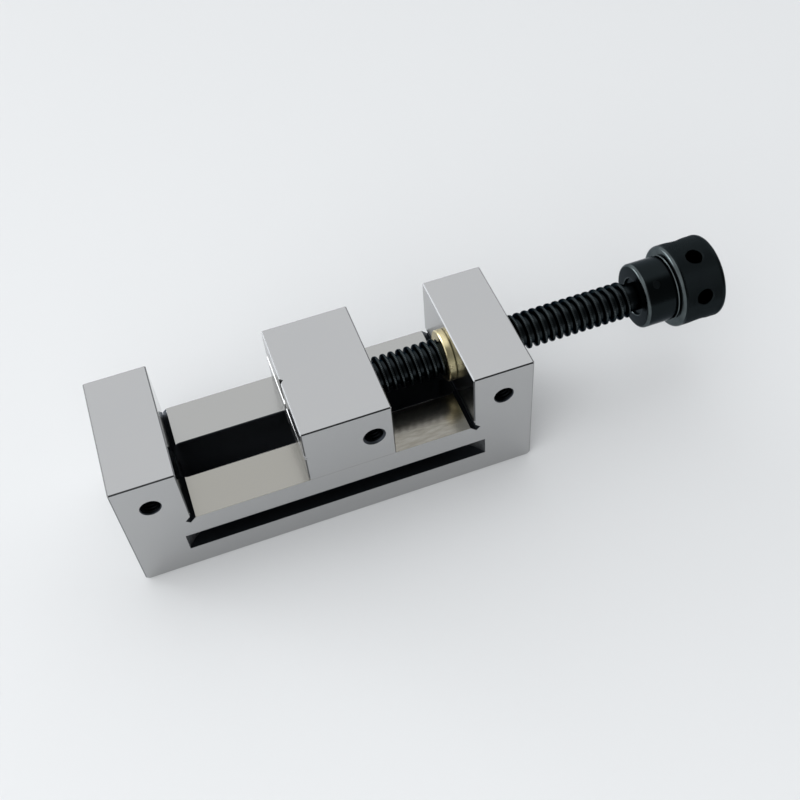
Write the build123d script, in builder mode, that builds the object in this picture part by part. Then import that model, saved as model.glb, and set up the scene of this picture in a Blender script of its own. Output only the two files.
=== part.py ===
from build123d import *
from math import cos, radians, sin, sqrt, tan
import os

os.makedirs("parts", exist_ok=True)

# A small screw-type precision vise for grinding, measuring and spark erosion work.
# Millimetres. The origin is the centre of the body's underside.
# +X runs from the fixed jaw to the knob, +Z is up, the front side faces -Y.

# Body
body_length = 146.0
body_width = 50.0
body_height = 52.0
bed_height = 27.0
fixed_jaw_length = 22.0
nut_block_length = 22.0
edge_break = 0.4
foot_break = 1.0
relief_width = 2.1
relief_depth = 1.0

# Guide slot, keeper pocket and side clamp slots
rail_height = 9.0
guide_width = 15.2
guide_edge_break = 0.3
pocket_width = 26.0
milled_corner_radius = 3.0
clamp_slot_length = 110.0
clamp_slot_bottom = 10.0
clamp_slot_height = 8.0
clamp_slot_depth = 8.0
slot_cutter_radius = 15.0

# Tapped M8 side holes, drawn at the thread's minor diameter
screw_height = 39.5
tapped_radius = 3.4
body_hole_mouth_radius = 3.7
jaw_hole_mouth_radius = 4.1
countersink_angle = 90
end_hole_inset = 11.0
stop_hole_depth = 14.0
drill_point_angle = 118

# Movable jaw
jaw_front = -9.5
jaw_length = 31.5
vee_depth = 1.25
tongue_inset = 3.0
slide_clearance = 0.05
nose_bore_radius = 5.05
nose_bore_depth = 18.0
jaw_hole_inset = 7.0

# Keeper plate and its two M5 cap screws with spring washers
keeper_width = 25.0
keeper_thickness = 9.0
keeper_overhang = 1.25
keeper_screw_spacing = 16.0
cap_head_radius = 4.25
cap_head_height = 5.0
cap_socket_width = 4.0
cap_socket_depth = 2.5
cap_shank_radius = 2.1
cap_thread_reach = 10.0
cap_clearance_radius = 2.75
washer_outer_radius = 4.6
washer_inner_radius = 2.6
washer_thickness = 1.2
washer_split = 0.9
head_pocket_radius = 5.0

# Lead screw, drawn with its trapezoidal thread as a plain cylinder
thread_radius = 7.0
thread_start = 22.6
thread_end = 120.4
thread_chamfer = 1.2
nose_radius = 5.0
groove_radius = 3.5
groove_width = 4.4
shank_radius = 5.23
ball_radius = 1.5

# Screw nut
nut_bore_radius = 7.05
nut_sleeve_radius = 8.5
nut_flange_radius = 9.5
nut_flange_thickness = 2.75
nut_end_recess = 0.5
nut_edge_break = 0.35

# Set screws
fit_gap = 0.02
set_screw_length = 8.0
set_screw_socket_width = 4.0
set_screw_socket_depth = 4.0
dog_radius = 2.0
dog_length = 2.3
dog_tip_distance = 3.7

# Knob
knob_start = 123.5
hub_length = 12.3
hub_radius = 12.1
hub_edge_break = 0.8
hub_recess_radius = 6.75
hub_recess_depth = 0.8
knob_groove_width = 1.2
knob_groove_depth = 0.8
head_length = 17.4
head_radius = 15.4
head_edge_break = 1.1
knob_bore_radius = 5.25
knob_bore_depth = 24.5
tommy_hole_radius = 3.0
tommy_hole_depth = 8.0
tommy_hole_count = 6
tommy_hole_first_angle = 101.0
tommy_hole_inset = 8.5
pin_radius = 1.5
pin_x = 128.5
pin_angle = 122.0

# Places worked out from the sizes above
half_length = body_length / 2
half_width = body_width / 2
fixed_jaw_face = -half_length + fixed_jaw_length
nut_block_face = half_length - nut_block_length
rail_underside = bed_height - rail_height
end_hole_x = half_length - end_hole_inset
jaw_rear = jaw_front + jaw_length
tongue_front = jaw_front + tongue_inset
tongue_rear = jaw_rear - tongue_inset
tongue_length = tongue_rear - tongue_front
tongue_middle = (tongue_front + tongue_rear) / 2
tongue_width = guide_width - 2 * slide_clearance
tongue_bottom = rail_underside - slide_clearance
jaw_hole_x = jaw_rear - jaw_hole_inset
keeper_bottom = tongue_bottom - keeper_thickness
keeper_web = keeper_thickness - cap_head_height - washer_thickness
keeper_screw_places = {
    "front": tongue_middle - keeper_screw_spacing / 2,
    "rear": tongue_middle + keeper_screw_spacing / 2,
}
nose_bore_bottom = jaw_rear - nose_bore_depth
nose_end = nose_bore_bottom + 2 * ball_radius + fit_gap
knob_end = knob_start + hub_length + head_length
hub_end = knob_start + hub_length
tommy_hole_x = knob_end - tommy_hole_inset
screw_end = knob_start + knob_bore_depth
sides = {"front": -1, "back": 1}
screw_plane = Plane(origin=(0, 0, screw_height), x_dir=(1, 0, 0), z_dir=(0, -1, 0))
screw_axis = Axis((0, 0, screw_height), (1, 0, 0))


def side_plane(x, y_distance, side):
    """Plane at the screw's height, facing out of one side of the vise."""
    return Plane(origin=(x, side * y_distance, screw_height), x_dir=(1, 0, 0), z_dir=(0, side, 0))


def radial_plane(x, distance, angle):
    """Plane square to a line that leaves the screw's axis at this angle from +Y."""
    out = (0, cos(radians(angle)), sin(radians(angle)))
    origin = (x, distance * out[1], screw_height + distance * out[2])
    return Plane(origin=origin, x_dir=(1, 0, 0), z_dir=out)


# Body: fixed jaw, bed and nut block in one piece, ground from a solid bar
with BuildPart() as vise_body:
    with BuildSketch(Plane.XZ) as body_outline:
        with BuildLine():
            Polyline(
                (-half_length, 0),
                (half_length, 0),
                (half_length, body_height),
                (nut_block_face, body_height),
                (nut_block_face, bed_height),
                (fixed_jaw_face, bed_height),
                (fixed_jaw_face, body_height),
                (-half_length, body_height),
                close=True,
            )
        make_face()
        chamfer(body_outline.vertices().group_by(Axis.Y)[0], foot_break)
    extrude(amount=half_width, both=True)
    side_edges = vise_body.edges().group_by(Axis.Y)
    top_edges = vise_body.edges().filter_by(Axis.Y).group_by(Axis.Z)[-1]
    long_edges = vise_body.edges().filter_by(Axis.X)
    sharp_rail_edges = long_edges.filter_by_position(Axis.Z, bed_height, bed_height)
    chamfer(side_edges[0] + side_edges[-1] + top_edges - sharp_rail_edges, edge_break)

    # Slanted reliefs in the two inner corners, so that square work seats fully
    relief_length = 2 * (relief_width / 2 + relief_depth)
    with BuildSketch(Plane.XZ) as corner_reliefs:
        with Locations((fixed_jaw_face, bed_height)):
            Rectangle(relief_length, relief_width, rotation=45)
        with Locations((nut_block_face, bed_height)):
            Rectangle(relief_length, relief_width, rotation=-45)
    extrude(amount=half_width, both=True, mode=Mode.SUBTRACT)

    # Guide slot between the rails, open into the keeper pocket below
    with BuildSketch(Plane.XY.offset(rail_underside)) as guide_slot:
        RectangleRounded(nut_block_face - fixed_jaw_face, guide_width, milled_corner_radius)
    extrude(amount=body_height, mode=Mode.SUBTRACT)
    guide_edges = vise_body.edges().filter_by(Axis.X).filter_by_position(
        Axis.Y, -guide_width, guide_width
    )
    chamfer(guide_edges.filter_by_position(Axis.Z, bed_height, bed_height), guide_edge_break)
    with BuildSketch(Plane.XY) as keeper_pocket:
        RectangleRounded(nut_block_face - fixed_jaw_face, pocket_width, milled_corner_radius)
    extrude(amount=rail_underside, mode=Mode.SUBTRACT)

    # Clamp slots along both sides, with the round run-out that a disc cutter leaves
    run_out = sqrt(slot_cutter_radius**2 - (slot_cutter_radius - clamp_slot_depth) ** 2)
    cutter_offset = half_width - clamp_slot_depth + slot_cutter_radius
    with BuildSketch(Plane.XY.offset(clamp_slot_bottom)) as clamp_slots:
        with Locations((0, -cutter_offset), (0, cutter_offset)):
            SlotCenterToCenter(clamp_slot_length - 2 * run_out, 2 * slot_cutter_radius)
    extrude(amount=clamp_slot_height, mode=Mode.SUBTRACT)

    # Bore for the screw nut
    with BuildSketch(Plane.YZ.offset(nut_block_face)) as nut_bore:
        with Locations((0, screw_height)):
            Circle(nut_sleeve_radius + fit_gap)
    extrude(amount=nut_block_length, mode=Mode.SUBTRACT)

    # Tapped side holes: blind in the fixed jaw, through to the nut in the nut block
    drill_point = tapped_radius / tan(radians(drill_point_angle / 2))
    for side in sides.values():
        with Locations(side_plane(-end_hole_x, half_width, side)):
            CounterSinkHole(
                tapped_radius, body_hole_mouth_radius, stop_hole_depth, countersink_angle
            )
        with Locations(side_plane(-end_hole_x, half_width - stop_hole_depth, side)):
            Cone(
                bottom_radius=0.01,
                top_radius=tapped_radius,
                height=drill_point,
                align=(Align.CENTER, Align.CENTER, Align.MAX),
                mode=Mode.SUBTRACT,
            )
        with Locations(side_plane(end_hole_x, half_width, side)):
            CounterSinkHole(
                tapped_radius,
                body_hole_mouth_radius,
                half_width - nut_sleeve_radius / 2,
                countersink_angle,
            )
vise_body.part.label = "vise_body"

# Movable jaw: block with work-holding vees, and a tongue that runs in the guide slot
with BuildPart() as movable_jaw:
    with BuildSketch(Plane.XZ) as jaw_side:
        with Locations(((jaw_front + jaw_rear) / 2, (bed_height + body_height) / 2)):
            Rectangle(jaw_length, body_height - bed_height)
    extrude(amount=half_width, both=True)
    sharp_jaw_edges = movable_jaw.edges().group_by(Axis.Z)[0].filter_by(Axis.X)
    chamfer(movable_jaw.edges() - sharp_jaw_edges, edge_break)
    with BuildSketch(Plane.XZ) as level_vee:
        with BuildLine():
            Polyline(
                (jaw_front, screw_height + vee_depth),
                (jaw_front + vee_depth, screw_height),
                (jaw_front, screw_height - vee_depth),
                close=True,
            )
        make_face()
    extrude(amount=half_width, both=True, mode=Mode.SUBTRACT)
    with BuildSketch(Plane.XY.offset(bed_height)) as upright_vee:
        with BuildLine():
            Polyline(
                (jaw_front, vee_depth),
                (jaw_front + vee_depth, 0),
                (jaw_front, -vee_depth),
                close=True,
            )
        make_face()
    extrude(amount=body_height - bed_height, mode=Mode.SUBTRACT)
    with BuildSketch(Plane.XY.offset(tongue_bottom)) as tongue:
        with Locations((tongue_middle, 0)):
            Rectangle(tongue_length, tongue_width)
    extrude(amount=bed_height - tongue_bottom + edge_break)
    with BuildSketch(Plane.YZ.offset(jaw_rear)) as nose_bore:
        with Locations((0, screw_height)):
            Circle(nose_bore_radius)
    extrude(amount=-nose_bore_depth, mode=Mode.SUBTRACT)
    for side in sides.values():
        with Locations(side_plane(jaw_hole_x, half_width, side)):
            CounterSinkHole(
                tapped_radius,
                jaw_hole_mouth_radius,
                half_width - nose_bore_radius / 2,
                countersink_angle,
            )
    with Locations(
        *[
            Plane(origin=(x, 0, tongue_bottom), x_dir=(1, 0, 0), z_dir=(0, 0, -1))
            for x in keeper_screw_places.values()
        ]
    ):
        Hole(cap_shank_radius + fit_gap, cap_thread_reach + 1)
movable_jaw.part.label = "movable_jaw"

# Keeper plate: bolted under the tongue, it keeps the jaw down on the rails
with BuildPart() as keeper_plate:
    with BuildSketch(Plane.XY.offset(keeper_bottom)) as keeper_outline:
        with Locations((tongue_middle, 0)):
            RectangleRounded(
                tongue_length + 2 * keeper_overhang, keeper_width, milled_corner_radius
            )
    extrude(amount=keeper_thickness)
    chamfer(keeper_plate.edges().group_by(Axis.Z)[0], edge_break)
    with Locations(
        *[
            Plane(origin=(x, 0, keeper_bottom), x_dir=(1, 0, 0), z_dir=(0, 0, -1))
            for x in keeper_screw_places.values()
        ]
    ):
        CounterBoreHole(
            cap_clearance_radius,
            head_pocket_radius,
            keeper_thickness - keeper_web,
            keeper_thickness,
        )
keeper_plate.part.label = "keeper_plate"

# Keeper fasteners, driven up into the tongue from below
keeper_fasteners = []
for name, x in keeper_screw_places.items():
    washer_top = keeper_bottom + cap_head_height + washer_thickness
    with BuildPart() as cap_screw:
        with BuildSketch(Plane(origin=(x, 0, keeper_bottom))) as cap_head:
            Circle(cap_head_radius)
        extrude(amount=cap_head_height)
        with BuildSketch(Plane(origin=(x, 0, keeper_bottom + cap_head_height))) as cap_shank:
            Circle(cap_shank_radius)
        extrude(amount=washer_thickness + keeper_web + cap_thread_reach)
        with BuildSketch(Plane(origin=(x, 0, keeper_bottom))) as cap_socket:
            RegularPolygon(cap_socket_width / 2, 6, major_radius=False)
        extrude(amount=cap_socket_depth, mode=Mode.SUBTRACT)
    cap_screw.part.label = f"keeper_screw_{name}"
    keeper_fasteners.append(cap_screw.part)

    with BuildPart() as spring_washer:
        with BuildSketch(Plane(origin=(x, 0, washer_top - washer_thickness))) as split_ring:
            Circle(washer_outer_radius)
            Circle(washer_inner_radius, mode=Mode.SUBTRACT)
            with Locations((washer_outer_radius, 0)):
                Rectangle(washer_outer_radius * 2, washer_split, rotation=0, mode=Mode.SUBTRACT)
        extrude(amount=washer_thickness)
    spring_washer.part.label = f"keeper_washer_{name}"
    keeper_fasteners.append(spring_washer.part)

# Lead screw: grooved nose in the jaw, thread through the nut, shank in the knob
with BuildPart() as lead_screw:
    groove_start = jaw_hole_x - groove_width / 2
    with BuildSketch(screw_plane) as screw_profile:
        with BuildLine():
            Polyline(
                (nose_end, 0),
                (nose_end, nose_radius),
                (groove_start, nose_radius),
                (groove_start, groove_radius),
                (groove_start + groove_width, groove_radius),
                (groove_start + groove_width, nose_radius),
                (thread_start, nose_radius),
                (thread_start, thread_radius - thread_chamfer),
                (thread_start + thread_chamfer, thread_radius),
                (thread_end - thread_chamfer, thread_radius),
                (thread_end, thread_radius - thread_chamfer),
                (thread_end, shank_radius),
                (screw_end, shank_radius),
                (screw_end, 0),
                close=True,
            )
        make_face()
    revolve(axis=screw_axis)
    with BuildSketch(radial_plane(pin_x, -thread_radius, pin_angle)) as screw_pin_hole:
        Circle(pin_radius + fit_gap)
    extrude(amount=2 * thread_radius, mode=Mode.SUBTRACT)
lead_screw.part.label = "lead_screw"

# Thrust ball between the screw's nose and the bottom of its bore
with BuildPart() as thrust_ball:
    with Locations((nose_bore_bottom + ball_radius, 0, screw_height)):
        Sphere(ball_radius)
thrust_ball.part.label = "thrust_ball"

# Screw nut: flanged sleeve seated against the nut block's inner face
with BuildPart() as screw_nut:
    nut_start = nut_block_face - nut_flange_thickness
    nut_end = half_length - nut_end_recess
    with BuildSketch(screw_plane) as nut_profile:
        with BuildLine():
            Polyline(
                (nut_start, nut_bore_radius),
                (nut_start, nut_flange_radius - nut_edge_break),
                (nut_start + nut_edge_break, nut_flange_radius),
                (nut_block_face, nut_flange_radius),
                (nut_block_face, nut_sleeve_radius),
                (nut_end, nut_sleeve_radius),
                (nut_end, nut_bore_radius),
                close=True,
            )
        make_face()
    revolve(axis=screw_axis)
screw_nut.part.label = "screw_nut"

# Set screws: two hold the nut still, two dog-point ones hold the screw's nose
set_screws = []
for name, side in sides.items():
    with BuildPart() as nut_lock_screw:
        with BuildSketch(side_plane(end_hole_x, nut_sleeve_radius, side)) as lock_barrel:
            Circle(tapped_radius - fit_gap)
        extrude(amount=set_screw_length)
        lock_end = nut_sleeve_radius + set_screw_length
        with BuildSketch(side_plane(end_hole_x, lock_end, side)) as lock_socket:
            RegularPolygon(set_screw_socket_width / 2, 6, major_radius=False)
        extrude(amount=-set_screw_socket_depth, mode=Mode.SUBTRACT)
    nut_lock_screw.part.label = f"nut_lock_screw_{name}"
    set_screws.append(nut_lock_screw.part)

    dog_base = dog_tip_distance + dog_length
    with BuildPart() as nose_lock_screw:
        with BuildSketch(side_plane(jaw_hole_x, dog_tip_distance, side)) as dog:
            Circle(dog_radius)
        extrude(amount=dog_length)
        with BuildSketch(side_plane(jaw_hole_x, dog_base, side)) as dog_barrel:
            Circle(tapped_radius - fit_gap)
        extrude(amount=set_screw_length)
        with BuildSketch(side_plane(jaw_hole_x, dog_base + set_screw_length, side)) as dog_socket:
            RegularPolygon(set_screw_socket_width / 2, 6, major_radius=False)
        extrude(amount=-set_screw_socket_depth, mode=Mode.SUBTRACT)
    nose_lock_screw.part.label = f"nose_lock_screw_{name}"
    set_screws.append(nose_lock_screw.part)

# Knob: smooth hub and larger gripping head with radial holes for a tommy bar
with BuildPart() as knob:
    groove_edge = hub_end - knob_groove_width
    with BuildSketch(screw_plane) as knob_profile:
        with BuildLine():
            Polyline(
                (knob_start + hub_recess_depth, knob_bore_radius),
                (knob_start + hub_recess_depth, hub_recess_radius),
                (knob_start, hub_recess_radius),
                (knob_start, hub_radius - hub_edge_break),
                (knob_start + hub_edge_break, hub_radius),
                (groove_edge, hub_radius),
                (groove_edge, hub_radius - knob_groove_depth),
                (hub_end, hub_radius - knob_groove_depth),
                (hub_end, head_radius - head_edge_break),
                (hub_end + head_edge_break, head_radius),
                (knob_end - head_edge_break, head_radius),
                (knob_end, head_radius - head_edge_break),
                (knob_end, 0),
                (screw_end, 0),
                (screw_end, knob_bore_radius),
                close=True,
            )
        make_face()
    revolve(axis=screw_axis)
    for index in range(tommy_hole_count):
        hole_angle = tommy_hole_first_angle + index * 360 / tommy_hole_count
        with Locations(radial_plane(tommy_hole_x, head_radius, hole_angle)):
            Hole(tommy_hole_radius, tommy_hole_depth)
    with BuildSketch(radial_plane(pin_x, -head_radius, pin_angle)) as knob_pin_hole:
        Circle(pin_radius + fit_gap)
    extrude(amount=2 * head_radius, mode=Mode.SUBTRACT)
knob.part.label = "knob"

# Cross pin that carries the turning force from the knob to the screw
with BuildPart() as knob_pin:
    pin_reach = sqrt(hub_radius**2 - pin_radius**2)
    with BuildSketch(radial_plane(pin_x, -pin_reach, pin_angle)) as pin_section:
        Circle(pin_radius)
    extrude(amount=2 * pin_reach)
knob_pin.part.label = "knob_pin"

# Every finished piece goes to its own file, named after the piece
pieces = [
    vise_body.part,
    movable_jaw.part,
    keeper_plate.part,
    *keeper_fasteners,
    lead_screw.part,
    thrust_ball.part,
    screw_nut.part,
    *set_screws,
    knob.part,
    knob_pin.part,
]
for piece in pieces:
    export_step(piece, f"parts/{piece.label}.step")
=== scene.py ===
"""Looks of a small screw-type precision vise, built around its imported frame.

Lengths are in metres, in the frame's own axes: +X runs from the fixed jaw to the knob, +Z is up
and the front side faces -Y.
"""

import logging
import math
from dataclasses import dataclass
from enum import Enum
from functools import reduce
from typing import Callable, Sequence, Union

import bpy
from mathutils import Matrix, Vector


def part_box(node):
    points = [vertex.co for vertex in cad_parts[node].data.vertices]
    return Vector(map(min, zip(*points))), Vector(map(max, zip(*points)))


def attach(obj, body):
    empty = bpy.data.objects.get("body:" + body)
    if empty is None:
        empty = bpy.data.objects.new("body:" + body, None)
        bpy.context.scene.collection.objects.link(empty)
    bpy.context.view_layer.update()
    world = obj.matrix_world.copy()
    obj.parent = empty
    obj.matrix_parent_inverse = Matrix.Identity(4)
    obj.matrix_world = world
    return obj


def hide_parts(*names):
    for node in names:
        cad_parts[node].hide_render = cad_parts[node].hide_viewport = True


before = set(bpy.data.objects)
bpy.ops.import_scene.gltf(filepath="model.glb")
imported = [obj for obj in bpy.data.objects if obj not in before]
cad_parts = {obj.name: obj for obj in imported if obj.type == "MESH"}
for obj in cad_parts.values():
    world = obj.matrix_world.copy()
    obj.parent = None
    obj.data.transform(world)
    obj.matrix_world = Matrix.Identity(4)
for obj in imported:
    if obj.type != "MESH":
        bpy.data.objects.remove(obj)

LOG = logging.getLogger("vise")
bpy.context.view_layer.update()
MM = 0.001
FULL_TURN = 2 * math.pi
WELD = 2e-7
HAIR = 0.01 * MM
BEYOND = 1.0
SCREW_HEIGHT = 39.5 * MM
HALF_WIDTH = 25.0 * MM
BODY_HOLE_X = 62.0 * MM
JAW_HOLE_X = 15.0 * MM
Point = tuple[float, float]
Place = tuple[float, float, float]
Piece = bpy.types.Object
Material = bpy.types.Material


class Body(Enum):
    """Rigid bodies of the vise, by the names that the frame gives them."""

    BASE = "base"
    JAW = "jaw"
    SCREW = "screw"


class Slot(Enum):
    """Names of the record's material slots."""

    OXIDE = "black_oxide_steel"
    THREAD = "blackened_screw_steel"
    BRASS = "nut_brass"
    KNOB = "black_oxide_knob"


def joining(operation: str, swapped: bool = False) -> Callable[["Wire", "Value"], "Wire"]:
    """A method that joins a wire and another value in a Math node.

    Args:
        operation: The node's operation.
        swapped: Whether the other value comes first.

    Returns:
        The method.
    """

    def method(wire: "Wire", other: "Value") -> "Wire":
        """Join the two values."""
        first, second = (other, wire) if swapped else (wire, other)
        return wire.shader.math(operation, first, second)

    return method


class Wire:
    """One output of a shader node, which Python's operators extend with Math nodes."""

    def __init__(self, shader: "Shader", socket: bpy.types.NodeSocket) -> None:
        """Keep the shader and the socket that this wire starts from."""
        self.shader = shader
        self.socket = socket

    __add__ = joining("ADD")
    __radd__ = joining("ADD", swapped=True)
    __sub__ = joining("SUBTRACT")
    __rsub__ = joining("SUBTRACT", swapped=True)
    __mul__ = joining("MULTIPLY")
    __rmul__ = joining("MULTIPLY", swapped=True)
    __lt__ = joining("LESS_THAN")
    __gt__ = joining("GREATER_THAN")
    largest = joining("MAXIMUM")

    def __abs__(self) -> "Wire":
        """Size without sign."""
        return self.shader.math("ABSOLUTE", self)


Value = Union[Wire, float]
Colour = tuple[float, float, float]


class Shader:
    """Node tree of a material or of the room, built through one node method and wires."""

    def __init__(self, owner: Union[Material, bpy.types.World]) -> None:
        """Start with an empty tree.

        Args:
            owner: The new material, or the room's world.
        """
        self.owner = owner
        owner.use_nodes = True
        self.tree = owner.node_tree
        self.tree.nodes.clear()

    def node(self, kind: str, settings: dict | None = None, **values: object) -> bpy.types.Node:
        """Add any node.

        Args:
            kind: The node's type, without its ShaderNode prefix.
            settings: Attributes of the node itself, set first.
            **values: Numbers, colours or wires for its sockets; an underscore stands for a space,
                and a name such as in0 is the socket's place.

        Returns:
            The new node.
        """
        node = self.tree.nodes.new("ShaderNode" + kind)
        for key, setting in (settings or {}).items():
            setattr(node, key, setting)
        for key, value in values.items():
            place = key[2:]
            socket = node.inputs[int(place) if place.isdigit() else key.replace("_", " ")]
            if isinstance(value, Wire):
                self.tree.links.new(value.socket, socket)
            elif isinstance(value, tuple) and len(value) == 3 and socket.type == "RGBA":
                socket.default_value = (*value, 1.0)
            else:
                socket.default_value = value
        return node

    def wire(self, node: bpy.types.Node, output: str | int = 0) -> Wire:
        """The wire that leaves a node's output."""
        return Wire(self, node.outputs[output])

    def math(self, operation: str, first: Value, second: Value = 0.0) -> Wire:
        """A Math node on one or two values."""
        return self.wire(self.node("Math", {"operation": operation}, in0=first, in1=second))

    def place(self) -> tuple[Wire, Wire, Wire, Wire]:
        """Object coordinates, whole and as X, Y and Z."""
        whole = self.wire(self.node("TexCoord"), "Object")
        parts = self.node("SeparateXYZ", in0=whole)
        return whole, self.wire(parts, 0), self.wire(parts, 1), self.wire(parts, 2)

    def stretched(self, vector: Wire, scales: Place) -> Wire:
        """Coordinates multiplied by a scale for each axis."""
        return self.wire(self.node("VectorMath", {"operation": "MULTIPLY"}, in0=vector, in1=scales))

    def noise(self, vector: Wire, scale: float, detail: float = 2.0) -> Wire:
        """Noise from 0 to 1, with scale features in each unit of the vector."""
        return self.wire(self.node("TexNoise", Vector=vector, Scale=scale, Detail=detail))

    def mix(self, factor: Value, low: Union[Wire, Colour], high: Union[Wire, Colour]) -> Wire:
        """Colour between two colours."""
        node = self.node("Mix", {"data_type": "RGBA"}, in0=factor, in6=low, in7=high)
        return self.wire(node, 2)

    def ramp(self, value: Wire, low: float, high: float) -> Wire:
        """0 below a range, 1 above it and in between inside."""
        return self.wire(self.node("MapRange", Value=value, From_Min=low, From_Max=high))

    def spread(self, value: Wire, low: float, high: float) -> Wire:
        """A value from 0 to 1 turned to run from low to high."""
        return value * (high - low) + low

    def towards(self, direction: Wire, axis: Place, inner: float, outer: float) -> Wire:
        """How near a direction is to an axis.

        Args:
            direction: The direction, of length 1.
            axis: The axis, of any length.
            inner: Degrees off the axis up to which the result is 1.
            outer: Degrees off the axis from which it is 0.

        Returns:
            A soft mask.
        """
        unit = tuple(Vector(axis).normalized())
        dot = self.node("VectorMath", {"operation": "DOT_PRODUCT"}, in0=direction, in1=unit)
        low, high = math.cos(math.radians(outer)), math.cos(math.radians(inner))
        settings = {"interpolation_type": "SMOOTHSTEP"}
        limits = {"From_Min": low, "From_Max": high}
        return self.wire(self.node("MapRange", settings, Value=self.wire(dot, "Value"), **limits))

    def bump(self, height: Wire, distance: float, strength: float = 1.0) -> Wire:
        """Normal bent by a height map, whose 1 is the distance in metres."""
        return self.wire(self.node("Bump", Height=height, Distance=distance, Strength=strength))

    def finish(self, **values: object) -> Material:
        """Close the tree with the main shader, whose sockets get the values."""
        self.node("OutputMaterial", in0=self.wire(self.node("BsdfPrincipled", **values)))
        return self.owner


# A region turns object coordinates into 1 inside and 0 outside.
Region = Callable[[Wire, Wire, Wire], Wire]
Regions = tuple[Region, ...]


def block(x_mid: float, x_half: float, y_half: float, z_low: float, z_high: float) -> Region:
    """Region of a box that is centred on Y.

    Args:
        x_mid: Middle in X.
        x_half: Half its length in X.
        y_half: Half its width.
        z_low: Its bottom.
        z_high: Its top.

    Returns:
        The region.
    """
    return (
        lambda x, y, z: (abs(x - x_mid) < x_half)
        * (abs(y) < y_half)
        * (abs(z - (z_low + z_high) / 2) < (z_high - z_low) / 2)
    )


def squared_radius(across: Wire, z: Wire) -> Wire:
    """Square of the distance from an axis at the screw's height."""
    up = z - SCREW_HEIGHT
    return across * across + up * up


def cross_hole(x_mid: float, radius: float, y_half: float) -> Region:
    """Region of a hole along Y at the screw's height."""
    return lambda x, y, z: (squared_radius(x - x_mid, z) < radius * radius) * (abs(y) < y_half)


def long_hole(x_mid: float, x_half: float, radius: float) -> Region:
    """Region of a hole along X round the screw's axis."""
    return lambda x, y, z: (squared_radius(y, z) < radius * radius) * (abs(x - x_mid) < x_half)


def ring(x_mid: float, x_half: float, radius: float, outer: float = BEYOND) -> Region:
    """Region between two radii about the screw's axis.

    Args:
        x_mid: Middle in X.
        x_half: Half its length in X.
        radius: Its inner radius.
        outer: Its outer radius.

    Returns:
        The region.
    """
    middle, half = (outer * outer + radius * radius) / 2, (outer * outer - radius * radius) / 2
    return lambda x, y, z: (abs(squared_radius(y, z) - middle) < half) * (abs(x - x_mid) < x_half)


def cover(regions: Sequence[Region], x: Wire, y: Wire, z: Wire) -> Value:
    """1 inside any of the regions, 0 outside them all."""
    masks = [region(x, y, z) for region in regions]
    return reduce(Wire.largest, masks) if masks else 0.0


class Finish:
    """Look of a surface, which its own class draws as a node tree."""

    def build(self, name: str) -> Material:
        """Make the material under a name."""
        return self.draw(Shader(bpy.data.materials.new(name)))

    def draw(self, shader: Shader) -> Material:
        """Draw the finish in a new material's empty tree."""
        raise NotImplementedError


@dataclass(frozen=True)
class BlackOxide(Finish):
    """Chemically blackened steel, with a faint blue-green cast and oily gloss."""

    tone: Colour = (0.015, 0.019, 0.021)
    worn_tone: Colour = (0.019, 0.023, 0.025)
    edge_tone: Colour = (0.60, 0.62, 0.64)
    rubbed_tone: Colour = (0.16, 0.19, 0.195)
    rubbed: Regions = ()
    roughness: float = 0.34
    variation: float = 0.07
    cloud_scale: float = 160.0
    grain_scale: float = 1500.0
    grain_height: float = 0.003 * MM

    def draw(self, shader: Shader) -> Material:
        """Draw the clouded black, rubbed thin where hands or the nut touch it.

        Args:
            shader: The new material's empty tree.

        Returns:
            The finished material.
        """
        whole, x, y, z = shader.place()
        cloud = shader.noise(whole, self.cloud_scale, detail=3.0)
        grain = shader.noise(whole, self.grain_scale)
        smooth, rough = self.roughness - self.variation, self.roughness + self.variation
        tone = shader.mix(cloud, self.tone, self.worn_tone)
        if self.rubbed:
            tone = shader.mix(cover(self.rubbed, x, y, z) * cloud, tone, self.rubbed_tone)
        return shader.finish(
            Base_Color=tone,
            Roughness=shader.spread(cloud, smooth, rough),
            Metallic=1.0,
            Specular_Tint=self.edge_tone,
            Normal=shader.bump(grain, self.grain_height),
        )


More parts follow.
